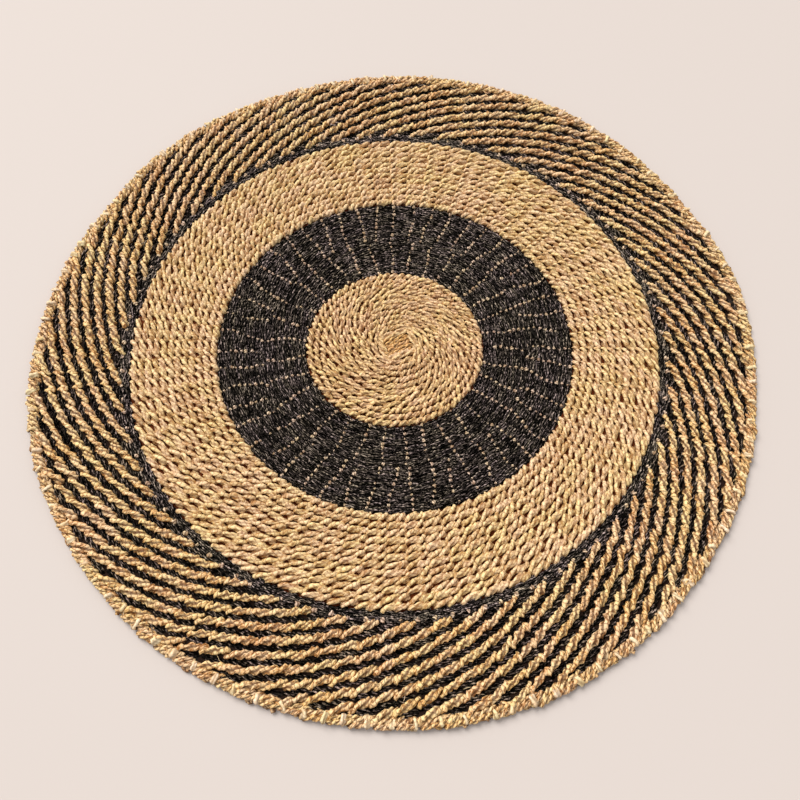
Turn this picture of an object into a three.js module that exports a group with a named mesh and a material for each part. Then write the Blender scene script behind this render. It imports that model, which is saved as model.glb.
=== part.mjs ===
// A round seagrass floor rug, lying flat, as one solid. It is twined by hand from the middle
// out: pairs of two-strand cords go round and round, crossing between the spokes, so each turn
// is a raised row. The top carries those rows and, in the outer zone, the slanting ridges that
// the thick natural stitches make between the thin black ones. The underside is flat.
// The origin is the weaving centre, on the underside. Bearings are in degrees, anticlockwise
// from +X as seen from above, and lengths are in millimetres.

import * as THREE from 'three';

// Driving dimensions.
const RIM_RADIUS = 596;
const NUB_DEPTH = 3.5; // the rim draws in by this much between two spoke ends
const NUB_HEIGHT = 6; // the rim is widest here, above the floor
const RIM_TUCK = 5; // the underside stops this far inside the rim's widest line
const START_RADIUS = 20; // the plaited start in the middle is a rounded block of cords
const START_STRETCH = 3.5;
const START_BEARING = 15;
const START_HEIGHT = 11;
const START_SPOKES = 14;

// The zones of rows, from the middle out. Each zone ends at a rough circle of the given outer
// radius, whose middle is shifted towards one bearing and which is stretched along another.
// Crest and groove are the heights of a row's top and of the gap between two rows. In the
// swirl zone they belong to the natural and the black stitches of one row.
const ZONES = [
  { name: 'disc', outer: 146, rows: 12, spokes: 28, crest: 10.5, groove: 8,
    shift: 7, towards: 225, stretch: 2, along: 10, swirl: false },
  { name: 'black ring', outer: 294, rows: 17, spokes: 28, crest: 8.5, groove: 7,
    shift: 4, towards: 215, stretch: 4, along: 5, swirl: false },
  { name: 'natural ring', outer: 439, rows: 12, spokes: 56, crest: 11, groove: 8,
    shift: 2, towards: 215, stretch: 3, along: 20, swirl: false },
  { name: 'black band', outer: 457, rows: 2, spokes: 56, crest: 9.5, groove: 7.5,
    shift: 2, towards: 215, stretch: 3, along: 20, swirl: false },
  { name: 'swirl', outer: RIM_RADIUS, rows: 13, spokes: 112, crest: 12, groove: 8,
    shift: 0, towards: 0, stretch: 0, along: 0, swirl: true },
];

// Where the rim swells out or draws in: a row for each stretch of it.
const RIM_SWELLS = [
  { bearing: 12, reach: 14, out: 13 },
  { bearing: 55, reach: 30, out: 14 },
  { bearing: 112, reach: 12, out: -4 },
  { bearing: 152, reach: 9, out: -6 },
  { bearing: 193, reach: 16, out: 8 },
  { bearing: 258, reach: 14, out: -2 },
  { bearing: 317, reach: 14, out: -4 },
];

const TURN = 360;

function turned(bearing) {
  return THREE.MathUtils.degToRad(bearing);
}

// The middle block of cords: an oval.
function startEdge(bearing) {
  return START_RADIUS + START_STRETCH * Math.cos(2 * turned(bearing - START_BEARING));
}

function zoneEdge(zone, bearing) {
  const moved = zone.shift * Math.cos(turned(bearing - zone.towards));
  const stretched = zone.stretch * Math.cos(2 * turned(bearing - zone.along));
  return zone.outer + moved + stretched;
}

function rimEdge(bearing) {
  let radius = RIM_RADIUS;
  for (const swell of RIM_SWELLS) {
    const away = THREE.MathUtils.euclideanModulo(bearing - swell.bearing + TURN / 2, TURN) - TURN / 2;
    radius += swell.out * Math.exp(-((away / swell.reach) ** 2));
  }
  return radius;
}

// A closed line of points round the centre, one for each spoke.
function ring(spokes, radiusAt, heightAt) {
  const points = [];
  for (let spoke = 0; spoke < spokes; spoke += 1) {
    const bearing = (spoke * TURN) / spokes;
    const radius = radiusAt(bearing, spoke);
    const angle = turned(bearing);
    points.push(new THREE.Vector3(radius * Math.cos(angle), radius * Math.sin(angle), heightAt(spoke)));
  }
  return points;
}

// The rings of one zone. A plain row has a ring along its crest and one in the groove outside
// it. A swirl row has one ring, high on every second spoke and low on the others, and the next
// row moves on by a spoke.
function zoneRings(zone, innerEdge, outerEdge) {
  const rings = [];
  const radiusAt = (share) => (bearing) =>
    THREE.MathUtils.lerp(innerEdge(bearing), outerEdge(bearing), share);
  for (let row = 0; row < zone.rows; row += 1) {
    const middle = radiusAt((row + 0.5) / zone.rows);
    if (zone.swirl) {
      rings.push(ring(zone.spokes, middle, (spoke) => ((row + spoke) % 2 ? zone.groove : zone.crest)));
    } else {
      rings.push(ring(zone.spokes, middle, () => zone.crest));
      rings.push(ring(zone.spokes, radiusAt((row + 1) / zone.rows), () => zone.groove));
    }
  }
  return rings;
}

// Fills the strip between two rings, the outer one with as many points or twice as many. With
// as many, each quad is split along the way the swirl runs: inwards as the bearing grows.
function strip(faces, inner, outer) {
  const doubled = outer.length === 2 * inner.length;
  inner.forEach((here, i) => {
    const next = inner[(i + 1) % inner.length];
    const across = doubled ? outer[2 * i] : outer[i];
    const middle = doubled ? outer[2 * i + 1] : across;
    const far = outer[(doubled ? 2 * i + 2 : i + 1) % outer.length];
    if (doubled) faces.push([here, across, middle]);
    faces.push([here, middle, next]);
    faces.push([next, middle, far]);
  });
}

function fan(faces, centre, points, up) {
  points.forEach((here, i) => {
    const next = points[(i + 1) % points.length];
    faces.push(up ? [centre, here, next] : [centre, next, here]);
  });
}

function rugGeometry() {
  const faces = [];
  const half = ring(START_SPOKES, (bearing) => startEdge(bearing) / 2, () => START_HEIGHT);
  const rings = [half, ring(START_SPOKES, startEdge, () => ZONES[0].groove)];
  fan(faces, new THREE.Vector3(0, 0, START_HEIGHT), half, true);

  let innerEdge = startEdge;
  for (const zone of ZONES) {
    const outerEdge = zone.swirl ? rimEdge : (bearing) => zoneEdge(zone, bearing);
    rings.push(...zoneRings(zone, innerEdge, outerEdge));
    innerEdge = outerEdge;
  }

  // The rim stands out at each spoke's end. Below it the side goes in to the flat underside.
  const spokeEnds = ZONES[ZONES.length - 1].spokes;
  const drawnIn = (bearing, point) => rimEdge(bearing) - (point % 2 ? NUB_DEPTH : 0);
  rings.push(ring(2 * spokeEnds, drawnIn, () => NUB_HEIGHT));
  for (let i = 1; i < rings.length; i += 1) strip(faces, rings[i - 1], rings[i]);

  const foot = ring(spokeEnds, (bearing) => rimEdge(bearing) - RIM_TUCK, () => 0);
  const side = [];
  strip(side, foot, rings[rings.length - 1]);
  faces.push(...side.map(([a, b, c]) => [a, c, b]));
  fan(faces, new THREE.Vector3(0, 0, 0), foot, false);

  const geometry = new THREE.BufferGeometry().setFromPoints(faces.flat());
  geometry.computeVertexNormals();
  return geometry;
}

const seagrass = new THREE.MeshStandardMaterial({ color: 0xbb9463, roughness: 0.75, metalness: 0 });
const rug = new THREE.Mesh(rugGeometry(), seagrass);
rug.name = 'rug';

const seagrassRug = new THREE.Group();
seagrassRug.add(rug);

export default seagrassRug;
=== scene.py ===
import math
import random

import bmesh
import bpy
import numpy
from mathutils import Matrix, Vector


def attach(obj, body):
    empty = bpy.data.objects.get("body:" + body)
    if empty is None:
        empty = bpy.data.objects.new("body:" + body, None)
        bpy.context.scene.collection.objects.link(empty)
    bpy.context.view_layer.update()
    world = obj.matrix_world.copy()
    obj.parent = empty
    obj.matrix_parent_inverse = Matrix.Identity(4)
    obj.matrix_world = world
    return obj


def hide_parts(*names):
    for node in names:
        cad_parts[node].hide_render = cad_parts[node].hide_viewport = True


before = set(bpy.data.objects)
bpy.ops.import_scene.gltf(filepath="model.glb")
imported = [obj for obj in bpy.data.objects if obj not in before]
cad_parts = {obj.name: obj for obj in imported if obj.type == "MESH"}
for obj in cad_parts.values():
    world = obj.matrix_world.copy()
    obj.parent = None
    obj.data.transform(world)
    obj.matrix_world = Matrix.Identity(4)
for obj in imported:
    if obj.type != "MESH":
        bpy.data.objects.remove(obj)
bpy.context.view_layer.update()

# Floor, light and camera.
# The rug lies on a plain pale floor under a soft bright sky, with one large soft lamp from the
# far left. The camera stands at the near edge and looks steeply down.

FLOOR_WIDTH = 14.0
FLOOR_COLOUR = (0.62, 0.562, 0.535)
FLOOR_ROUGHNESS = 0.7
EYE = Vector((-0.038, -0.612, 1.164))
EYE_AHEAD = Vector((0.031, 0.403, -0.915))
EYE_RIGHT = Vector((0.999, -0.023, 0.023))
LENS = 34.9
SKY_COLOUR = (1.0, 0.97, 0.94, 1.0)
SKY_STRENGTH = 0.60
LAMP_PLACE = Vector((-2.0, 2.4, 3.8))
LAMP_SPREAD = 40.0
LAMP_POWER = 2.9
LAMP_COLOUR = (1.0, 0.965, 0.92)

scene = bpy.context.scene
scene.view_settings.view_transform = "Standard"


def plain_material(name, colour, roughness):
    material = bpy.data.materials.new(name)
    material.use_nodes = True
    shader = material.node_tree.nodes["Principled BSDF"]
    shader.inputs["Base Color"].default_value = (*colour, 1.0)
    shader.inputs["Roughness"].default_value = roughness
    return material


def shown(name, mesh, material):
    """Puts a finished mesh in the scene at the origin."""
    mesh.materials.append(material)
    piece = bpy.data.objects.new(name, mesh)
    scene.collection.objects.link(piece)
    return piece


floor_form = bmesh.new()
bmesh.ops.create_grid(floor_form, x_segments=1, y_segments=1, size=FLOOR_WIDTH / 2)
floor_mesh = bpy.data.meshes.new("floor")
floor_form.to_mesh(floor_mesh)
floor_form.free()
floor = shown("floor", floor_mesh, plain_material("pale floor", FLOOR_COLOUR, FLOOR_ROUGHNESS))

sky = bpy.data.worlds.new("soft sky")
sky.use_nodes = True
sky.node_tree.nodes["Background"].inputs["Color"].default_value = SKY_COLOUR
sky.node_tree.nodes["Background"].inputs["Strength"].default_value = SKY_STRENGTH
scene.world = sky

lamp_light = bpy.data.lights.new("far left lamp", "SUN")
lamp_light.angle = math.radians(LAMP_SPREAD)
lamp_light.energy = LAMP_POWER
lamp_light.color = LAMP_COLOUR
lamp = bpy.data.objects.new("far left lamp", lamp_light)
lamp.location = LAMP_PLACE
lamp.rotation_euler = (-LAMP_PLACE).to_track_quat("-Z", "Y").to_euler()
scene.collection.objects.link(lamp)

eye = bpy.data.objects.new("eye", bpy.data.cameras.new("eye"))
eye.data.lens = LENS
back = -EYE_AHEAD.normalized()
right = (EYE_RIGHT - back * EYE_RIGHT.dot(back)).normalized()
eye.matrix_world = Matrix.Translation(EYE) @ Matrix((right, back.cross(right), back)).transposed().to_4x4()
scene.collection.objects.link(eye)
scene.camera = eye

# The ground of the fabric: the radial spokes with the lower turns of every twined row.
# It is one layer of the same seagrass, seen only as the dark between the stitches and as the
# ribbed underside.

MM = 0.001
GROUND_TOP = 4.2 * MM
GROUND_EDGE = 5.0 * MM
UNDER_GROOVE = 1.2 * MM
START_RADIUS = 20 * MM
START_STRETCH = 3.5 * MM
START_BEARING = 15
RIM_RADIUS = 596 * MM
RIM_ROUND = 3 * MM
RIM_WIDEST_AT = 2.5 * MM
SPOKES = 112
GROUND_CIRCLES = (0, 60, 146, 220, 294, 366, 439, 457, 510, 560, 585)
MERGED = 0.01 * MM
STRAW_DARK = (0.33, 0.19, 0.08)
STRAW_PALE = (0.56, 0.37, 0.17)
BLACK_LOOK = (0.022, 0.020, 0.018)
# The ground's top shows only down the gaps between the stitches, so it is painted with their shade: brown
# under natural rows, near black under black rows and in most of the swirl.
PAINTED_SHADE_BROWN = (0.11, 0.022, 0.004)
PAINTED_SHADE_BLACK = (0.012, 0.010, 0.008)
SWIRL_DARKER = 0.9
FIBRE_SCALE = 320.0
LUMP_BUMP = 1.2 * MM
TOP_FROM = 2.0 * MM
LOOK_REACH = 600 * MM

# Each zone of rows ends at a rough circle: its radius, how far its middle is shifted and
# towards which bearing, and how much it is stretched and along which bearing. The lengths here,
# in the rim's swells and in GROUND_CIRCLES are in millimetres, and all bearings in degrees.
ZONES = {
    "disc": dict(outer=146, rows=12, shift=7, towards=225, stretch=2, along=10),
    "black ring": dict(outer=294, rows=17, shift=4, towards=215, stretch=4, along=5),
    "natural ring": dict(outer=439, rows=12, shift=2, towards=215, stretch=3, along=20),
    "black band": dict(outer=457, rows=2, shift=2, towards=215, stretch=3, along=20),
    "swirl": dict(outer=596, rows=13, shift=0, towards=0, stretch=0, along=0),
}

# Where the rim swells out or draws in: the bearing, the reach to each side and how far out.
RIM_SWELLS = (
    dict(bearing=12, reach=14, out=13),
    dict(bearing=55, reach=30, out=14),
    dict(bearing=112, reach=12, out=-4),
    dict(bearing=152, reach=9, out=-6),
    dict(bearing=193, reach=16, out=8),
    dict(bearing=258, reach=14, out=-2),
    dict(bearing=317, reach=14, out=-4),
)


def start_edge(bearing):
    return START_RADIUS + START_STRETCH * math.cos(2 * math.radians(bearing - START_BEARING))


def rim_edge(bearing):
    radius = RIM_RADIUS
    for swell in RIM_SWELLS:
        away = (bearing - swell["bearing"] + 180) % 360 - 180
        radius += swell["out"] * MM * math.exp(-((away / swell["reach"]) ** 2))
    return radius


def zone_edge(name, bearing):
    """The radius at which a zone ends, at a bearing in degrees."""
    if name == "swirl":
        return rim_edge(bearing)
    zone = ZONES[name]
    moved = zone["shift"] * math.cos(math.radians(bearing - zone["towards"]))
    stretched = zone["stretch"] * math.cos(2 * math.radians(bearing - zone["along"]))
    return (zone["outer"] + moved + stretched) * MM


def row_radius(name, row, bearing):
    """The radius of a row's middle. Rows count from 0 at the zone's inner edge."""
    before = list(ZONES)[: list(ZONES).index(name)]
    inner = zone_edge(before[-1], bearing) if before else start_edge(bearing)
    share = (row + 0.5) / ZONES[name]["rows"]
    return inner + (zone_edge(name, bearing) - inner) * share


def joined(tree, *links):
    for come, go in links:
        tree.links.new(come, go)


def add_node(tree, kind, **settings):
    made = tree.nodes.new(kind)
    for key, value in settings.items():
        setattr(made, key, value)
    return made


def sum_node(tree, operation, first, second=0.0, third=0.0):
    """A Math node. Each of its inputs is a number or another node's output."""
    made = add_node(tree, "ShaderNodeMath", operation=operation)
    for socket, value in zip(made.inputs, (first, second, third)):
        if isinstance(value, (int, float)):
            socket.default_value = value
        else:
            tree.links.new(value, socket)
    return made.outputs[0]


def mixed(tree, amount, first, second, blend="MIX"):
    """A colour mix. Each colour is a tuple or another node's output."""
    made = add_node(tree, "ShaderNodeMix", data_type="RGBA", blend_type=blend)
    for socket, value in zip((made.inputs[0], made.inputs[6], made.inputs[7]), (amount, first, second)):
        if isinstance(value, (int, float)):
            socket.default_value = value
        elif isinstance(value, tuple):
            socket.default_value = (*value, 1.0)
        else:
            tree.links.new(value, socket)
    return made.outputs[2]


def ground_profile():
    """Radius and height from the middle of the top out, round the edge and back below."""
    top = [(radius * MM, GROUND_TOP) for radius in GROUND_CIRCLES]
    drawn_in = RIM_RADIUS - RIM_ROUND
    edge = [(drawn_in, GROUND_EDGE), (RIM_RADIUS, RIM_WIDEST_AT), (drawn_in, 0.0)]
    below = []
    inner = START_RADIUS
    for zone in ZONES.values():
        pitch = (zone["outer"] * MM - inner) / zone["rows"]
        for row in range(zone["rows"]):
            below.append((inner + row * pitch, UNDER_GROOVE))
            below.append((inner + (row + 0.5) * pitch, 0.0))
        inner = zone["outer"] * MM
    return top + edge + below[-2::-1] + [(0.0, 0.0)]


def wandered(radius, bearing):
    """Moves a nominal radius to where the uneven rings put it at this bearing."""
    nominal_inner = START_RADIUS
    real_inner = start_edge(bearing)
    if radius < nominal_inner:
        return radius * real_inner / nominal_inner
    for name, zone in ZONES.items():
        nominal_outer = zone["outer"] * MM
        real_outer = zone_edge(name, bearing)
        if radius <= nominal_outer:
            share = (radius - nominal_inner) / (nominal_outer - nominal_inner)
            return real_inner + (real_outer - real_inner) * share
        nominal_inner, real_inner = nominal_outer, real_outer
    return radius + real_outer - nominal_outer


ground_form = bmesh.new()
nominal = ground_form.verts.layers.float.new("nominal")
profile = [ground_form.verts.new((radius, 0.0, height)) for radius, height in ground_profile()]
line = [ground_form.edges.new(pair) for pair in zip(profile, profile[1:])]
bmesh.ops.spin(
    ground_form, geom=profile + line, cent=(0, 0, 0), axis=(0, 0, 1),
    angle=math.tau, steps=SPOKES, use_merge=True,
)
bmesh.ops.remove_doubles(ground_form, verts=ground_form.verts, dist=MERGED)
for point in ground_form.verts:
    radius = point.co.xy.length
    point[nominal] = radius
    if radius > 0:
        bearing = math.degrees(math.atan2(point.co.y, point.co.x))
        point.co.xy *= wandered(radius, bearing) / radius
bmesh.ops.recalc_face_normals(ground_form, faces=ground_form.faces)
for face in ground_form.faces:
    face.smooth = True
ground_mesh = bpy.data.meshes.new("ground")
ground_form.to_mesh(ground_mesh)
ground_form.free()

# The ground's look: brown or black by zone, chequered by row and spoke in the swirl, with the
# stitches as low bumps below and, on top, painted shade: the deep shade of the gaps.
ground_look = bpy.data.materials.new("ground of spokes")
ground_look.use_nodes = True
tree = ground_look.node_tree
shader = tree.nodes["Principled BSDF"]
place = add_node(tree, "ShaderNodeTexCoord").outputs["Object"]
apart = add_node(tree, "ShaderNodeSeparateXYZ")
radius_is = add_node(tree, "ShaderNodeAttribute", attribute_name="nominal").outputs["Fac"]
joined(tree, (place, apart.inputs[0]))
turn = sum_node(tree, "DIVIDE", sum_node(tree, "ARCTAN2", apart.outputs[1], apart.outputs[0]), math.tau)
swirl_inner = ZONES["black band"]["outer"] * MM
swirl_pitch = (RIM_RADIUS - swirl_inner) / ZONES["swirl"]["rows"]
swirl_out = sum_node(tree, "DIVIDE", sum_node(tree, "SUBTRACT", radius_is, swirl_inner), swirl_pitch)
swirl_row = sum_node(tree, "FLOOR", swirl_out)
swirl_spoke = sum_node(tree, "ROUND", sum_node(tree, "MULTIPLY", turn, float(SPOKES)))
odd = sum_node(tree, "PINGPONG", sum_node(tree, "ADD", swirl_row, swirl_spoke), 1.0)
in_swirl = sum_node(tree, "GREATER_THAN", radius_is, swirl_inner)
zones = add_node(tree, "ShaderNodeValToRGB")
zones.color_ramp.interpolation = "CONSTANT"
natural_shade, black_shade = (0.0, 0.0, 0.0, 1.0), (1.0, 1.0, 1.0, 1.0)
zones.color_ramp.elements[0].color = natural_shade
zones.color_ramp.elements[1].position = ZONES["disc"]["outer"] * MM / LOOK_REACH
zones.color_ramp.elements[1].color = black_shade
for name, beyond in (
    ("black ring", natural_shade),
    ("natural ring", black_shade),
    ("black band", natural_shade),
):
    zones.color_ramp.elements.new(ZONES[name]["outer"] * MM / LOOK_REACH).color = beyond
joined(tree, (sum_node(tree, "DIVIDE", radius_is, LOOK_REACH), zones.inputs[0]))
black_here = sum_node(tree, "MAXIMUM", zones.outputs[0], sum_node(tree, "MULTIPLY", odd, in_swirl))
fibres = add_node(tree, "ShaderNodeTexNoise")
fibres.inputs["Scale"].default_value = FIBRE_SCALE
fibres.inputs["Detail"].default_value = 3.0
joined(tree, (place, fibres.inputs["Vector"]))
straw = mixed(tree, fibres.outputs["Fac"], STRAW_DARK, STRAW_PALE)
colour_below = mixed(tree, black_here, straw, BLACK_LOOK)
# Painted shade on the ground's top: brown in the natural zones, near black in the black zones and, by
# SWIRL_DARKER, in most of the swirl.
dark_here = sum_node(tree, "MAXIMUM", black_here, sum_node(tree, "MULTIPLY", in_swirl, SWIRL_DARKER))
painted_shade_on_top = mixed(tree, dark_here, PAINTED_SHADE_BROWN, PAINTED_SHADE_BLACK)
upper = sum_node(tree, "GREATER_THAN", apart.outputs[2], TOP_FROM)
joined(tree, (mixed(tree, upper, colour_below, painted_shade_on_top), shader.inputs["Base Color"]))
shader.inputs["Roughness"].default_value = 0.85
shader.inputs["Specular IOR Level"].default_value = 0.1
lumps = sum_node(tree, "SINE", sum_node(tree, "MULTIPLY", turn, math.tau * SPOKES))
bump = add_node(tree, "ShaderNodeBump")
bump.inputs["Strength"].default_value = 0.6
bump.inputs["Distance"].default_value = LUMP_BUMP
joined(tree, (sum_node(tree, "ADD", lumps, fibres.outputs["Fac"]), bump.inputs["Height"]))
joined(tree, (bump.outputs[0], shader.inputs["Normal"]))

ground = shown("ground", ground_mesh, ground_look)
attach(ground, "root")
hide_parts("rug")

# The start in the middle: a small plaited block of natural cords, and four long turns round it.
# The maker plaits the block from folded seagrass, and lays the first turns along its four
# sides, each one tucked under the next.

KINDS = 8
THIN_SIDES = 6
FAT_SIDES = 8
WAIST = 0.3
ON_WAIST = 0.1
PLY_HEIGHT = 1.1
HALF_TURN = 7.6 * MM
PITCH_SPREAD = 0.15
LAG = math.pi / 2
SWELL = 0.18
CORD = 6.8 * MM
CREST = 8.4 * MM
DIVE = 3.0 * MM
ARCH = 2.4
WOBBLE = 0.4 * MM
PRESSED = 0.1 * MM
chance = random.Random(11)


def twisted_cord(form, long, thick, steps, first_turn, side, pinch, rise, half_turn, sides, lumpy):
    """Adds one cord of two plies with a waist between them, along X and closed at both ends. It
    arches by rise and lies beside the middle line by side, drawn in towards its ends by pinch."""
    fibre = form.verts.layers.float_vector.get("fibre") or form.verts.layers.float_vector.new("fibre")
    tone = form.verts.layers.float.get("shade") or form.verts.layers.float.new("shade")
    shade = chance.random()
    upright = Matrix.Translation((-long / 2, 0, 0)) @ Matrix.Rotation(math.pi / 2, 4, "Y")
    upright = upright @ Matrix.Rotation(math.pi / 2, 4, "Z")
    ring = bmesh.ops.create_circle(form, segments=sides, radius=thick / 2, matrix=upright)["verts"]
    edges = list({edge for point in ring for edge in point.link_edges})
    for point in ring:
        point[fibre] = (2 * point.co.y / thick, 2 * point.co.z / thick, 0.0)
        point[tone] = shade
    waist = [point for point in ring if abs(point[fibre][0]) < ON_WAIST]
    bmesh.ops.scale(form, vec=(1, 1, WAIST), verts=waist)
    bmesh.ops.scale(form, vec=(1, PLY_HEIGHT, PLY_HEIGHT), verts=ring)
    bmesh.ops.rotate(form, cent=(0, 0, 0), matrix=Matrix.Rotation(first_turn, 3, "X"), verts=ring)
    step = long / steps
    turn_each = Matrix.Rotation(-math.pi * step / half_turn, 3, "X")
    rings = [ring]
    for _ in range(steps):
        grown = bmesh.ops.extrude_edge_only(form, edges=edges)["geom"]
        ring = [part for part in grown if isinstance(part, bmesh.types.BMVert)]
        fresh = set(ring)
        edges = [part for part in grown if isinstance(part, bmesh.types.BMEdge) and set(part.verts) <= fresh]
        bmesh.ops.translate(form, vec=(step, 0, 0), verts=ring)
        bmesh.ops.rotate(form, cent=(0, 0, 0), matrix=turn_each, verts=ring)
        rings.append(ring)
    for ring in rings:
        swell = 1 + chance.uniform(-SWELL, SWELL) * lumpy
        bmesh.ops.scale(form, vec=(1, swell, swell), verts=ring)
        share = 2 * ring[0].co.x / long
        middle = Vector((0, side * (1 - pinch * share**2), rise * (1 - abs(share) ** ARCH)))
        wobble = Vector((0, chance.gauss(0, WOBBLE), chance.gauss(0, WOBBLE))) * lumpy
        bmesh.ops.translate(form, vec=middle + wobble, verts=ring)
        for point in ring:
            point[fibre] = (point[fibre][0], point[fibre][1], point.co.x / (10 * MM))
    for end in (rings[0], rings[-1]):
        middle = sum((point.co for point in end), Vector()) / sides
        bmesh.ops.pointmerge(form, verts=end, merge_co=middle)


def stitch_kinds(
    name, long, thick, steps, rise,
    cords=1, gap=0.0, pinch=0.0, half_turn=HALF_TURN, sides=THIN_SIDES, lumpy=1.0,
):
    """A few like stitches, each of one cord, or of some side by side with a gap between their
    middle lines, to be laid by turns. The twist of each cord lags behind the one before it."""
    meshes = []
    for kind in range(KINDS):
        form = bmesh.new()
        twist = chance.uniform(0, math.pi)
        pitch = half_turn * chance.uniform(1 - PITCH_SPREAD, 1 + PITCH_SPREAD)
        for cord in range(cords):
            side = (cord - (cords - 1) / 2) * gap
            first_turn = twist + cord * LAG
            twisted_cord(form, long, thick, steps, first_turn, side, pinch, rise, pitch, sides, lumpy)
        bmesh.ops.recalc_face_normals(form, faces=form.faces)
        mesh = bpy.data.meshes.new(f"{name} {kind}")
        form.to_mesh(mesh)
        form.free()
        meshes.append(mesh)
    return meshes


def place_at(bearing, radius, height, slant, long=1.0, wide=1.0, tall=1.0, tip=0.0):
    """Where a stitch lies: along the turn, slanting inwards by slant degrees as it goes."""
    angle = math.radians(bearing)
    centre = Vector((radius * math.cos(angle), radius * math.sin(angle), height))
    turned = Matrix.Rotation(angle + math.pi / 2 + math.radians(slant), 3, "Z")
    tipped = Matrix.Rotation(math.radians(tip), 3, "Y")
    return centre, turned @ tipped @ Matrix.Diagonal((long, wide, tall)), chance.random()


def lay(name, kinds, places, material):
    """One mesh with a stitch at each place, taking the kinds by turns. The floor presses flat
    whatever would reach below it."""
    points, fibres, shades, corners, starts, totals = [], [], [], [], [], []
    first_point = first_corner = 0
    for number, mesh in enumerate(kinds[: len(places)]):
        mine = places[number :: len(kinds)]
        count = len(mesh.vertices)
        own = numpy.empty(count * 3)
        mesh.vertices.foreach_get("co", own)
        own_fibre = numpy.empty(count * 3)
        mesh.attributes["fibre"].data.foreach_get("vector", own_fibre)
        own_shade = numpy.empty(count)
        mesh.attributes["shade"].data.foreach_get("value", own_shade)
        own_corner = numpy.empty(len(mesh.loops), int)
        mesh.loops.foreach_get("vertex_index", own_corner)
        own_start = numpy.empty(len(mesh.polygons), int)
        own_total = own_start.copy()
        mesh.polygons.foreach_get("loop_start", own_start)
        mesh.polygons.foreach_get("loop_total", own_total)
        turns = numpy.array([[list(line) for line in turned] for _, turned, _ in mine])
        centres = numpy.array([list(centre) for centre, _, _ in mine])
        random_shade = numpy.array([shade for _, _, shade in mine])
        copies = numpy.arange(len(mine))
        moved = numpy.einsum("nij,pj->npi", turns, own.reshape(-1, 3)) + centres[:, None]
        moved[:, :, 2] = numpy.maximum(moved[:, :, 2], PRESSED)
        points.append(moved.reshape(-1, 3))
        fibres.append(numpy.tile(own_fibre, len(mine)))
        shades.append(((own_shade[None] + random_shade[:, None]) % 1.0).ravel())
        corners.append((own_corner[None] + first_point + count * copies[:, None]).ravel())
        starts.append((own_start[None] + first_corner + len(own_corner) * copies[:, None]).ravel())
        totals.append(numpy.tile(own_total, len(mine)))
        first_point += count * len(mine)
        first_corner += len(own_corner) * len(mine)
    mesh = bpy.data.meshes.new(name)
    mesh.vertices.add(first_point)
    mesh.loops.add(first_corner)
    mesh.polygons.add(sum(len(part) for part in starts))
    mesh.vertices.foreach_set("co", numpy.concatenate(points).ravel())
    mesh.loops.foreach_set("vertex_index", numpy.concatenate(corners))
    mesh.polygons.foreach_set("loop_start", numpy.concatenate(starts))
    mesh.polygons.foreach_set("loop_total", numpy.concatenate(totals))
    mesh.polygons.foreach_set("use_smooth", numpy.ones(len(mesh.polygons), bool))
    mesh.attributes.new("fibre", "FLOAT_VECTOR", "POINT").data.foreach_set(
        "vector", numpy.concatenate(fibres)
    )
    mesh.attributes.new("shade", "FLOAT", "POINT").data.foreach_set("value", numpy.concatenate(shades))
    mesh.update(calc_edges=True)
    mesh.validate()
    piece = shown(name, mesh, material)
    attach(piece, "root")
    return piece


# The look of the grass. Each stretch is for a noise across, up and along a cord, and each
# range is the pair of values between which a mask rises from 0 to 1.
SEEDS = 60.0
UNEVEN_STRETCH = (1.0, 1.0, 1.1)
STREAK_STRETCH = (3.2, 3.2, 2.0)
UNEVEN_RANGE = (0.34, 0.66)
STREAK_RANGE = (0.3, 0.7)
TONE_BY_STITCH = 0.4
TONE_BY_STREAK = 0.6
TONE_RANGE = (0.4, 1.35)
PATCH_SCALE = 11.0
CAST_BY_STITCH = 0.5
CAST_RANGE = (0.5, 1.0)
OLIVE_CAST = (1.0, 0.985, 0.81)
ROSE_CAST = (1.0, 0.93, 0.95)
GROOVE_RANGE = (0.3, 0.0)
NOTCHES_PER_CM = 1.7
NOTCH_LEAN = 0.6
NOTCH_RANGE = (0.17, 0.02)
SPECK_RANGE = (0.47, 0.37)
DEEP_SHADE = 0.85
GRAIN_DEPTH = 0.6 * MM


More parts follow.
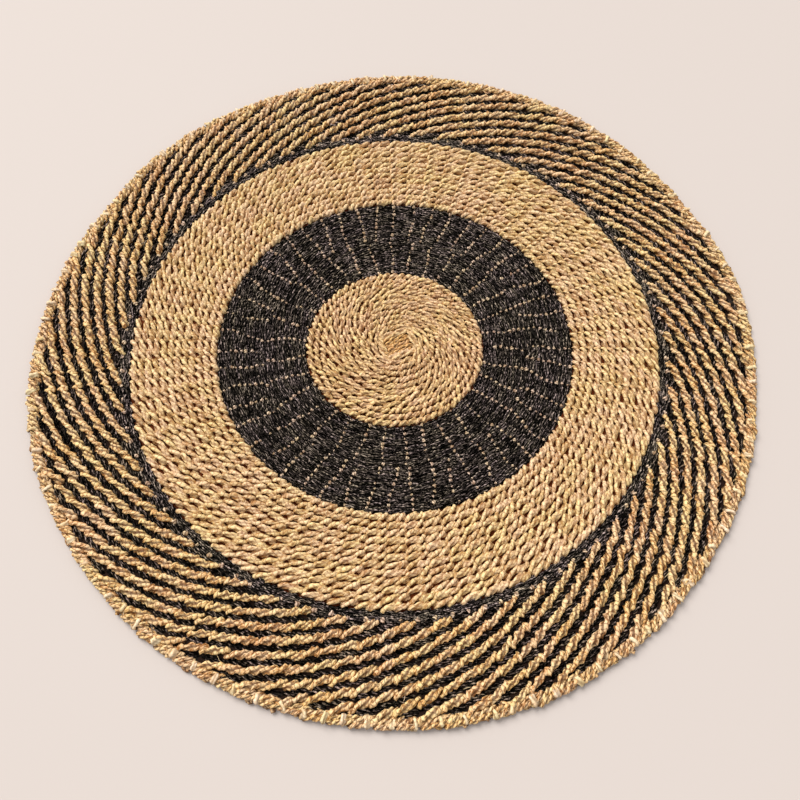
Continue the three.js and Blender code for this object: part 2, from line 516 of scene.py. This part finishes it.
def fibre_group():
    """Twisted grass: tone by stitch and ply, fine streaks, painted shade in the grooves between the
    plies, in slanting notches where each ply is itself twisted and in dark specks, painted shade
    that deepens from the height High down to Low, and a cast that drifts between olive and rose."""
    group = bpy.data.node_groups.new("twisted grass", "ShaderNodeTree")
    # Dark is the tone of all the painted shade below.
    for name, kind, start in (
        ("Light", "NodeSocketColor", None),
        ("Mid", "NodeSocketColor", None),
        ("Dark", "NodeSocketColor", None),
        ("Low", "NodeSocketFloat", 4 * MM),
        ("High", "NodeSocketFloat", 9 * MM),
        ("Rare", "NodeSocketFloat", 1.0),
        ("Groove", "NodeSocketFloat", 0.6),
        ("Notch", "NodeSocketFloat", 0.6),
        ("Fine", "NodeSocketFloat", 1.0),
        ("Speck", "NodeSocketFloat", 0.0),
    ):
        socket = group.interface.new_socket(name, in_out="INPUT", socket_type=kind)
        if start is not None:
            socket.default_value = start
    for name, kind in (
        ("Color", "NodeSocketColor"),
        ("Roughness", "NodeSocketFloat"),
        ("Height", "NodeSocketFloat"),
    ):
        group.interface.new_socket(name, in_out="OUTPUT", socket_type=kind)
    come = add_node(group, "NodeGroupInput")
    go = add_node(group, "NodeGroupOutput")
    fibre = add_node(group, "ShaderNodeAttribute", attribute_name="fibre").outputs["Vector"]
    shade = add_node(group, "ShaderNodeAttribute", attribute_name="shade").outputs["Fac"]
    where = add_node(group, "ShaderNodeSeparateXYZ")
    place = add_node(group, "ShaderNodeTexCoord").outputs["Object"]
    height = add_node(group, "ShaderNodeSeparateXYZ")
    joined(group, (fibre, where.inputs[0]), (place, height.inputs[0]))
    seed = sum_node(group, "MULTIPLY", shade, SEEDS)

    def noise(stretch, detail):
        shaped = add_node(group, "ShaderNodeVectorMath", operation="MULTIPLY")
        shaped.inputs[1].default_value = stretch
        made = add_node(group, "ShaderNodeTexNoise", noise_dimensions="4D")
        made.inputs["Detail"].default_value = detail
        joined(
            group,
            (fibre, shaped.inputs[0]),
            (shaped.outputs[0], made.inputs["Vector"]),
            (seed, made.inputs["W"]),
            (come.outputs["Fine"], made.inputs["Scale"]),
        )
        return made.outputs["Fac"]

    def between(value, low, high):
        made = add_node(group, "ShaderNodeMapRange")
        for socket, given in zip(made.inputs, (value, low, high)):
            if isinstance(given, (int, float)):
                socket.default_value = given
            else:
                group.links.new(given, socket)
        return made.outputs[0]

    uneven = noise(UNEVEN_STRETCH, 1.0)
    broad = between(uneven, *UNEVEN_RANGE)
    streaks = noise(STREAK_STRETCH, 3.0)
    tone = sum_node(group, "MULTIPLY_ADD", shade, TONE_BY_STITCH, broad)
    tone = sum_node(group, "MULTIPLY_ADD", between(streaks, *STREAK_RANGE), TONE_BY_STREAK, tone)
    tone = sum_node(group, "POWER", between(tone, *TONE_RANGE), come.outputs["Rare"])
    pale = mixed(group, tone, come.outputs["Mid"], come.outputs["Light"])
    patches = add_node(group, "ShaderNodeTexNoise")
    patches.inputs["Scale"].default_value = PATCH_SCALE
    patches.inputs["Detail"].default_value = 2.0
    joined(group, (place, patches.inputs["Vector"]))
    own_cast = sum_node(group, "FRACT", seed)
    cast = sum_node(group, "MULTIPLY_ADD", own_cast, CAST_BY_STITCH, patches.outputs["Fac"])
    cast = mixed(group, between(cast, *CAST_RANGE), OLIVE_CAST, ROSE_CAST)
    pale = mixed(group, 1.0, pale, cast, "MULTIPLY")
    # Painted shade in the groove between the two plies: the waist of the cord goes towards Dark.
    crest = sum_node(group, "MULTIPLY", where.outputs[0], where.outputs[0])
    groove = between(crest, *GROOVE_RANGE)
    groove = sum_node(group, "MULTIPLY", groove, come.outputs["Groove"])
    pale = mixed(group, groove, pale, come.outputs["Dark"])
    # Painted shade in slanting notches that follow each ply's own twist; the notches also sink the bump.
    twist = sum_node(group, "MULTIPLY_ADD", where.outputs[2], NOTCHES_PER_CM, seed)
    twist = sum_node(group, "MULTIPLY_ADD", where.outputs[0], NOTCH_LEAN, twist)
    twist = sum_node(group, "MULTIPLY_ADD", uneven, 1.0, twist)
    notch = between(sum_node(group, "PINGPONG", twist, 0.5), *NOTCH_RANGE)
    notch = sum_node(group, "MULTIPLY", notch, come.outputs["Notch"])
    pale = mixed(group, notch, pale, come.outputs["Dark"])
    # Painted shade in scattered dark specks.
    speck = sum_node(group, "MULTIPLY", between(uneven, *SPECK_RANGE), come.outputs["Speck"])
    pale = mixed(group, speck, pale, come.outputs["Dark"])
    # Painted shade that deepens from the height High down to Low.
    deep = between(height.outputs[2], come.outputs["High"], come.outputs["Low"])
    pale = mixed(group, sum_node(group, "MULTIPLY", deep, DEEP_SHADE), pale, come.outputs["Dark"])
    joined(
        group,
        (pale, go.inputs["Color"]),
        (sum_node(group, "MULTIPLY_ADD", streaks, 0.3, 0.4), go.inputs["Roughness"]),
        (sum_node(group, "MULTIPLY_ADD", notch, -1.0, streaks), go.inputs["Height"]),
    )
    return group


twisted_grass = fibre_group()


def grass_look(
    name, light, mid, dark, low, high,
    rare=1.0, groove=0.85, relief=0.5, shine=0.4, notch=0.6, fine=1.0, speck=0.0,
):
    """A material of twisted grass: its light and mid tones, the tone of its painted shade and the
    heights between which that painted shade deepens, then how rare the light tone is and how strong or fine
    each effect is."""
    material = bpy.data.materials.new(name)
    material.use_nodes = True
    tree = material.node_tree
    shader = tree.nodes["Principled BSDF"]
    shader.inputs["Specular IOR Level"].default_value = shine
    grass = add_node(tree, "ShaderNodeGroup", node_tree=twisted_grass)
    for key, colour in (("Light", light), ("Mid", mid), ("Dark", dark)):
        grass.inputs[key].default_value = (*colour, 1.0)
    values = dict(Low=low, High=high, Rare=rare, Groove=groove, Notch=notch, Fine=fine, Speck=speck)
    for key, value in values.items():
        grass.inputs[key].default_value = value
    bump = add_node(tree, "ShaderNodeBump")
    bump.inputs["Strength"].default_value = relief
    bump.inputs["Distance"].default_value = GRAIN_DEPTH
    joined(
        tree,
        (grass.outputs["Color"], shader.inputs["Base Color"]),
        (grass.outputs["Roughness"], shader.inputs["Roughness"]),
        (grass.outputs["Height"], bump.inputs["Height"]),
        (bump.outputs[0], shader.inputs["Normal"]),
    )
    return material


natural_look = grass_look(
    "natural seagrass", (1.0, 0.79, 0.48), (0.50, 0.27, 0.09), (0.17, 0.038, 0.006),
    low=3.2 * MM, high=6.5 * MM, groove=0.45, fine=1.7, speck=0.15,
)

BLOCK_LONG = 46 * MM
BLOCK_WIDE = 32 * MM
BLOCK_CORDS = 5
BLOCK_BITS = 3
BLOCK_STAGGER = (0.25, 0.75)
BLOCK_STRAY = 4
BLOCK_BIT = 22 * MM
BLOCK_CORD = 6.6 * MM
BLOCK_RISE = 3.8 * MM
BLOCK_HALF_TURN = 16 * MM
block_places = []
for cord in range(BLOCK_CORDS):
    across = ((cord + 0.5) / BLOCK_CORDS - 0.5) * BLOCK_WIDE
    for bit in range(BLOCK_BITS):
        along = ((bit + BLOCK_STAGGER[cord % 2]) / BLOCK_BITS - 0.5) * BLOCK_LONG
        bearing = START_BEARING + math.degrees(math.atan2(across, along))
        slant = START_BEARING - bearing - 90 + chance.gauss(0, BLOCK_STRAY)
        block_places.append(place_at(bearing, math.hypot(across, along), DIVE, slant))
block_kinds = stitch_kinds(
    "block", BLOCK_BIT, BLOCK_CORD, steps=7, rise=BLOCK_RISE,
    half_turn=BLOCK_HALF_TURN, sides=FAT_SIDES,
)
block_look = grass_look(
    "golden start", (0.92, 0.60, 0.29), (0.50, 0.25, 0.08), (0.10, 0.034, 0.008),
    low=3.0 * MM, high=8.0 * MM,
)
block = lay("start_block", block_kinds, block_places, block_look)

TURN_LONG = 58 * MM
TURN_SLANT = 5
TURN_AWAY = 4.5 * MM
TURN_HALF_TURN = 22 * MM
TURN_GAP = 5.2 * MM
TURN_REACH = (BLOCK_WIDE + 22 * MM, BLOCK_LONG + 14 * MM)
turn_places = []
for side in range(4):
    away = (BLOCK_LONG, BLOCK_WIDE)[side % 2] / 2 + TURN_AWAY
    long = TURN_REACH[side % 2] / TURN_LONG
    turn_places.append(place_at(START_BEARING + 90 * side, away, DIVE, TURN_SLANT, long))
turn_kinds = stitch_kinds(
    "turn", TURN_LONG, CORD, steps=17, rise=CREST - DIVE,
    cords=2, gap=TURN_GAP, pinch=0.2, half_turn=TURN_HALF_TURN, sides=FAT_SIDES,
)
first_turns = lay("first_turns", turn_kinds, turn_places, natural_look)

# The disc: rows of natural cord twined round the start.
# Each stitch is one thick cord of two plies, over one spoke and under the next. The spokes stand
# in pairs, and more are added as the disc grows, so the stitches per row go up in steps.

disc_look = grass_look(
    "natural seagrass in the disc", (1.0, 0.76, 0.44), (0.44, 0.22, 0.07), (0.13, 0.028, 0.004),
    low=3.4 * MM, high=7.2 * MM, rare=0.9, groove=0.6, fine=1.7, speck=0.25,
)
DISC_DRIFT = 1.2
STITCH_OVERLAP = 1.6
DISC_OVERLAP = 1.8
DISC_CORD = 7.9 * MM
NATURAL_HALF_TURN = 24 * MM
DISC_PAIRS = dict(shorter=0.08, back=0.1)
EVEN = dict(shorter=0.0, back=0.0)
DISC_PARTS = (
    dict(part="inner", rows=(1,), stitches=11, slant=10, long=33 * MM, steps=10),
    dict(part="second", rows=(2,), stitches=18, slant=12, long=25 * MM, steps=8),
    dict(part="middle", rows=range(3, 9), stitches=34, slant=19, long=25 * MM, steps=8),
    dict(part="outer", rows=range(9, 12), stitches=68, slant=20, long=20 * MM, steps=6),
)

# How far a stitch strays: along the row as a share of a stitch, across it and in height in
# metres, and in degrees for its slant and its tip. Then its least and greatest scales.
STRAY_ALONG = 0.03
STRAY_ACROSS = 0.45 * MM
STRAY_UP = 0.35 * MM
STRAY_SLANT = 3.5
STRAY_TIP = 2.0
LONG_SCALES = (0.95, 1.06)
WIDE_SCALES = (0.9, 1.1)
TALL_SCALES = (0.92, 1.1)


def evenly(row, number, stitches):
    """The bearing of a stitch where the spokes stand evenly."""
    return number * 360 / stitches


def row_places(
    name, row, stitches, slant, nominal, height,
    drift=0.0, pairs=EVEN, overlap=STITCH_OVERLAP, spoke_bearing=evenly, untidy=1.0,
):
    """The places of one row. nominal is the length for which the stitch kinds are made. Over
    spokes that stand in pairs, every second stitch is shorter and lies back by a share."""
    places = []
    for number in range(stitches):
        shorter = pairs["shorter"] if number % 2 else -pairs["shorter"]
        back = pairs["back"] if number % 2 else 0.0
        bearing = spoke_bearing(row, number - back + chance.gauss(0, STRAY_ALONG), stitches) + drift
        radius = row_radius(name, row, bearing)
        reach = spoke_bearing(row, number + 0.5, stitches) - spoke_bearing(row, number - 0.5, stitches)
        long = overlap * (1 - shorter) * math.radians(reach) * radius / nominal
        places.append(
            place_at(
                bearing,
                radius + chance.gauss(0, STRAY_ACROSS * untidy),
                height + chance.gauss(0, STRAY_UP * untidy),
                slant + chance.gauss(0, STRAY_SLANT * untidy),
                long * chance.uniform(*LONG_SCALES),
                chance.uniform(*WIDE_SCALES),
                chance.uniform(*TALL_SCALES),
                chance.gauss(0, STRAY_TIP),
            )
        )
    return places


for group in DISC_PARTS:
    places = []
    for row in group["rows"]:
        places += row_places(
            "disc", row, group["stitches"], group["slant"], group["long"], DIVE,
            drift=DISC_DRIFT * row, pairs=DISC_PAIRS, overlap=DISC_OVERLAP,
        )
    kinds = stitch_kinds(
        "disc", group["long"], DISC_CORD, group["steps"], rise=CREST - DIVE,
        half_turn=NATURAL_HALF_TURN, sides=FAT_SIDES,
    )
    rows = lay("disc_" + group["part"], kinds, places, disc_look)

# The black ring: seventeen rows of fine black-dyed cord, lower than the natural rows.
# The cord is twisted the other way and more softly. From the ninth row on there are half as
# many spokes again, so the stitches stay short.

BLACK_CORD = 4.1 * MM
BLACK_GAP = 3.9 * MM
BLACK_CREST = 6.6 * MM
BLACK_DIVE = 2.4 * MM
BLACK_SLANT = 11.0
BLACK_HALF_TURN = -14 * MM
BLACK_NOMINAL = 25 * MM
BLACK_MORE_FROM = 8
BLACK_STITCHES = (68, 102)
BLACK_PAIRS = dict(shorter=0.1, back=0.05)
BLACK_SETTLED = 14
BLACK_UNTIDY = 0.5
OLD_GAP = 1.5
SWAY = 0.07
SWAY_BY_ROW = 0.55
SWAY_BY_COLUMN = 2.4
# The light tone of the black grass is a painted highlight: made rare, it comes as sparse pale strokes on the
# plies in place of the dyed grass's sheen, while the shader hardly shines.
black_look = grass_look(
    "black seagrass", (0.56, 0.47, 0.44), (0.003, 0.0025, 0.0022), (0.0005, 0.0004, 0.0003),
    low=4.8 * MM, high=8.4 * MM,
    rare=3.8, groove=1.0, relief=0.6, shine=0.02, notch=0.8, fine=1.4,
)


def black_count(row):
    return BLACK_STITCHES[row >= BLACK_MORE_FROM]


def black_bearing(row, number, stitches):
    """The bearing of a stitch in the black ring, whose columns of spokes sway a little. Where
    every second gap between two pairs of spokes takes in a new pair, the old pairs stand as
    they did, an old gap being one and a half new ones, and then draw apart evenly."""
    column = number / 2
    if row >= BLACK_MORE_FROM:
        group, here = divmod(column, 3)
        crowded = OLD_GAP * here if here < 1 else OLD_GAP + OLD_GAP / 2 * (here - 1)
        settled = min(1.0, (row - BLACK_MORE_FROM) / (BLACK_SETTLED - BLACK_MORE_FROM))
        column = 3 * group + crowded + (here - crowded) * settled
    sway = SWAY * math.sin(SWAY_BY_ROW * row + SWAY_BY_COLUMN * round(number / 2))
    return (column + sway) * 720 / stitches


black_places = []
for row in range(ZONES["black ring"]["rows"]):
    black_places += row_places(
        "black ring", row, black_count(row), BLACK_SLANT, BLACK_NOMINAL, BLACK_DIVE,
        pairs=BLACK_PAIRS, spoke_bearing=black_bearing, untidy=BLACK_UNTIDY,
    )
black_kinds = stitch_kinds(
    "black", BLACK_NOMINAL, BLACK_CORD, steps=5, rise=BLACK_CREST - BLACK_DIVE,
    cords=2, gap=BLACK_GAP, pinch=0.5, half_turn=BLACK_HALF_TURN,
)
black_ring = lay("black_ring", black_kinds, black_places, black_look)

# The pale dots in the black ring: the natural spokes, which show once a row.
# They are the spokes themselves, between two stitches where the spokes stand in pairs.

DOT_LONG = 8.5 * MM
DOT_THICK = 5.4 * MM
DOT_RISE = 2.4 * MM
DOT_HEIGHT = 5.4 * MM
DOT_HIDDEN = 0.04
DOT_BESIDE = 0.75
DOT_STRAY_ALONG = 0.05
DOT_STRAY = 0.7 * MM
DOT_STRAY_TURN = 25
dot_look = grass_look(
    "pale spoke", (1.0, 0.82, 0.64), (0.40, 0.25, 0.15), (0.16, 0.08, 0.04),
    low=3.0 * MM, high=6.5 * MM, rare=1.3,
)


def dot_places(name, rows, stitches, height, pairs, small, big, spoke_bearing=evenly):
    """A dot after every second stitch, at the gap that pairs makes wide. Some stay hidden."""
    places = []
    for row in rows:
        for number in range(1, stitches(row), 2):
            if chance.random() < DOT_HIDDEN:
                continue
            beside = number + 0.5 - DOT_BESIDE * pairs["shorter"] + chance.gauss(0, DOT_STRAY_ALONG)
            bearing = spoke_bearing(row, beside, stitches(row))
            radius = row_radius(name, row, bearing) + chance.gauss(0, DOT_STRAY)
            size = chance.uniform(small, big)
            lift = height + chance.gauss(0, DOT_STRAY)
            slant = 90 + chance.gauss(0, DOT_STRAY_TURN)
            places.append(place_at(bearing, radius, lift, slant, size, size, size))
    return places


dot_kinds = stitch_kinds("dot", DOT_LONG, DOT_THICK, steps=4, rise=DOT_RISE)
ring_dots = dot_places(
    "black ring", range(ZONES["black ring"]["rows"]), black_count, DOT_HEIGHT, BLACK_PAIRS,
    small=0.5, big=1.0, spoke_bearing=black_bearing,
)
spoke_dots = lay("spoke_dots", dot_kinds, ring_dots, dot_look)

# The natural ring: twelve rows of thick stitches over spokes that stand in pairs.
# The dark slits between the rows come in pairs, a long one and a short one, along the spokes.

RING_CORD = 8.8 * MM
RING_PAIRS = dict(shorter=0.1, back=0.2)
RING_STITCHES = 140
RING_SLANT = 20.0
RING_NOMINAL = 26 * MM
RING_OVERLAP = 1.82
RING_CREST = 8.6 * MM
RING_HALF = 6
ring_kinds = stitch_kinds(
    "ring", RING_NOMINAL, RING_CORD, steps=8, rise=RING_CREST - DIVE,
    half_turn=NATURAL_HALF_TURN, sides=FAT_SIDES,
)
ring_end = ZONES["natural ring"]["rows"]
for part, rows in (("inner", range(RING_HALF)), ("outer", range(RING_HALF, ring_end))):
    places = []
    for row in rows:
        places += row_places(
            "natural ring", row, RING_STITCHES, RING_SLANT, RING_NOMINAL, DIVE,
            pairs=RING_PAIRS, overlap=RING_OVERLAP,
        )
    ring_rows = lay(f"natural_ring_{part}", ring_kinds, places, natural_look)

# The black band: two rows of black cord with a pale spoke showing at every stitch.
# The swirl's black stitches grow out of it, so its outer edge is toothed.

BAND_NOMINAL = 38 * MM
BAND_SLANT = 12.0
BAND_CORD = 4.8 * MM
BAND_GAP = 4.6 * MM
BAND_CREST = 7.0 * MM
band_places = []
for row in range(ZONES["black band"]["rows"]):
    band_places += row_places("black band", row, SPOKES, BAND_SLANT, BAND_NOMINAL, BLACK_DIVE)
band_kinds = stitch_kinds(
    "band", BAND_NOMINAL, BAND_CORD, steps=8, rise=BAND_CREST - BLACK_DIVE,
    cords=2, gap=BAND_GAP, pinch=0.4, half_turn=BLACK_HALF_TURN,
)
band = lay("black_band", band_kinds, band_places, black_look)


def band_count(row):
    return 2 * SPOKES


outer_dots = dot_places("black band", (1,), band_count, DOT_HEIGHT, EVEN, small=0.8, big=1.3)
band_dots = lay("band_dots", dot_kinds, outer_dots, dot_look)

# The swirl: rows in which thick natural stitches and thin black ones take turns.
# Every row moves on by one spoke, so the natural stitches join into slanting ridges and the
# black ones into the furrows between them.

SWIRL_SLANT = 26.0
SWIRL_HALF_TURN = 28 * MM
SWIRL_NOMINAL = 42 * MM
SWIRL_CORD = 9.8 * MM
SWIRL_CREST = 9.4 * MM
SWIRL_DIVE = 4.4 * MM
SWIRL_OVERLAP = 1.55
SWIRL_LUMPY = 1.7
FURROW_OVERLAP = 1.35
FURROW_SLANT = 12.0
FURROW_NOMINAL = 44 * MM
FURROW_CORD = 4.8 * MM
FURROW_CREST = 6.0 * MM
FURROW_GAP = 4.8 * MM
swirl_look = grass_look(
    "golden seagrass", (1.0, 0.78, 0.46), (0.76, 0.345, 0.085), (0.10, 0.030, 0.005),
    low=3.6 * MM, high=8.0 * MM, rare=0.9, relief=0.8, notch=0.7, fine=1.9, speck=0.65,
)
# Here too the light tone is a painted highlight in sparse pale strokes, with hardly any shine in the shader.
furrow_look = grass_look(
    "black seagrass in the furrows", (0.46, 0.37, 0.33), (0.003, 0.0024, 0.0022),
    (0.0005, 0.0004, 0.0003),
    low=4.8 * MM, high=8.4 * MM, rare=4.0, groove=1.0, relief=0.6, shine=0.02, notch=0.8,
)
swirl_kinds = stitch_kinds(
    "swirl", SWIRL_NOMINAL, SWIRL_CORD, steps=12, rise=SWIRL_CREST - SWIRL_DIVE,
    half_turn=SWIRL_HALF_TURN, sides=FAT_SIDES, lumpy=SWIRL_LUMPY,
)
furrow_kinds = stitch_kinds(
    "furrow", FURROW_NOMINAL, FURROW_CORD, steps=7, rise=FURROW_CREST - BLACK_DIVE,
    cords=2, gap=FURROW_GAP, pinch=0.3, half_turn=BLACK_HALF_TURN,
)
swirl_rows = ZONES["swirl"]["rows"] - 1
ridge_places, furrow_places = [], []
for row in range(swirl_rows):
    natural = row_places(
        "swirl", row, SPOKES, SWIRL_SLANT, SWIRL_NOMINAL, SWIRL_DIVE, overlap=SWIRL_OVERLAP
    )
    black = row_places(
        "swirl", row, SPOKES, FURROW_SLANT, FURROW_NOMINAL, BLACK_DIVE, overlap=FURROW_OVERLAP
    )
    ridge_places += natural[row % 2 :: 2]
    furrow_places += black[1 - row % 2 :: 2]
half = len(ridge_places) // 2
for part, places in (("inner", ridge_places[:half]), ("outer", ridge_places[half:])):
    ridges = lay(f"swirl_natural_{part}", swirl_kinds, places, swirl_look)
furrows = lay("swirl_black", furrow_kinds, furrow_places, furrow_look)

# The rim: one last natural row, above and below, and the spokes' ends folded over it.
# Each spoke is bent back over the last row and cut off there, which leaves a pale nub.

RIM_SLANT = 9.0
RIM_CORD = 8.2 * MM
RIM_HALF_TURN = 10 * MM
RIM_GAP = 6.2 * MM
RIM_RISE = 4.8 * MM
RIM_DIVE = SWIRL_DIVE - 1.0 * MM
RIM_DRIFT = 0.8
RIM_BELOW_HEIGHT = 7.0 * MM
RIM_BELOW_DRIFT = 2.4
RIM_BELOW_TALL = 0.6
rim_places = row_places(
    "swirl", swirl_rows, SPOKES, RIM_SLANT, SWIRL_NOMINAL, RIM_DIVE, drift=RIM_DRIFT
)
rim_below = row_places(
    "swirl", swirl_rows, SPOKES, -RIM_SLANT, SWIRL_NOMINAL, RIM_BELOW_HEIGHT, drift=RIM_BELOW_DRIFT
)
for centre, turned, shade in rim_below:
    rim_places.append((centre, turned @ Matrix.Diagonal((1.0, 1.0, -RIM_BELOW_TALL)), shade))
rim_kinds = stitch_kinds(
    "rim", SWIRL_NOMINAL, RIM_CORD, steps=12, rise=RIM_RISE,
    cords=2, gap=RIM_GAP, pinch=0.3, half_turn=RIM_HALF_TURN,
)
rim_row = lay("rim_row", rim_kinds, rim_places, swirl_look)

NUB_LONG = 20 * MM
NUB_THICK = 8.0 * MM
NUB_HALF_TURN = 45 * MM
NUB_RISE = 3.4 * MM
NUB_BACK = 4.8 * MM
NUB_HEIGHT = 8.6 * MM
NUB_STRAY_ALONG = 0.1
NUB_STRAY_OUT = 1.2 * MM
NUB_STRAY_UP = 0.8 * MM
NUB_STRAY_TURN = 14
NUB_STRAY_TIP = 6
NUB_LONG_SCALES = (0.7, 1.1)
NUB_WIDE_SCALES = (0.8, 1.3)
NUB_TALL_SCALES = (0.7, 1.05)
nub_look = grass_look(
    "pale spoke end", (1.0, 0.87, 0.63), (0.76, 0.54, 0.30), (0.22, 0.12, 0.05),
    low=1.0 * MM, high=6.0 * MM, groove=0.6, relief=0.4, notch=0.3,
)
nub_places = []
for spoke in range(SPOKES):
    bearing = (spoke + 0.5 + chance.gauss(0, NUB_STRAY_ALONG)) * 360 / SPOKES
    radius = rim_edge(bearing) - NUB_BACK + chance.gauss(0, NUB_STRAY_OUT)
    nub_places.append(
        place_at(
            bearing,
            radius,
            NUB_HEIGHT + chance.gauss(0, NUB_STRAY_UP),
            90 + chance.gauss(0, NUB_STRAY_TURN),
            chance.uniform(*NUB_LONG_SCALES),
            chance.uniform(*NUB_WIDE_SCALES),
            chance.uniform(*NUB_TALL_SCALES),
            chance.gauss(0, NUB_STRAY_TIP),
        )
    )
nub_kinds = stitch_kinds(
    "nub", NUB_LONG, NUB_THICK, steps=6, rise=NUB_RISE, half_turn=NUB_HALF_TURN
)
nubs = lay("spoke_ends", nub_kinds, nub_places, nub_look)

# Loose fibres: thin ends of grass that stand out of the rim and the face.
# Seagrass frays where it is cut and twisted, so every rug has a few of them.

WHISKERS = 110
WHISKER_LONG = 15 * MM
WHISKER_THICK = 0.7 * MM
WHISKER_RISE = 3.0 * MM
WHISKER_HEIGHT = 9 * MM
AT_RIM = 0.7
RIM_MARGIN_MM = 6
ON_SWIRL = (0.46, 0.59)
WHISKER_SIZES = (0.4, 1.0)
WHISKER_TIPS = (-20, 5)
whisker_places = []
for _ in range(WHISKERS):
    bearing = chance.uniform(0, 360)
    at_rim = chance.random() < AT_RIM
    if at_rim:
        radius = rim_edge(bearing) - chance.uniform(0, RIM_MARGIN_MM) * MM
    else:
        radius = chance.uniform(*ON_SWIRL)
    heading = chance.uniform(0, 360)
    size = chance.uniform(*WHISKER_SIZES)
    tip = chance.uniform(*WHISKER_TIPS)
    whisker_places.append(place_at(bearing, radius, WHISKER_HEIGHT, heading, size, 1.0, size, tip))
whisker_kinds = stitch_kinds("whisker", WHISKER_LONG, WHISKER_THICK, steps=5, rise=WHISKER_RISE)
whiskers = lay("loose_fibres", whisker_kinds, whisker_places, nub_look)
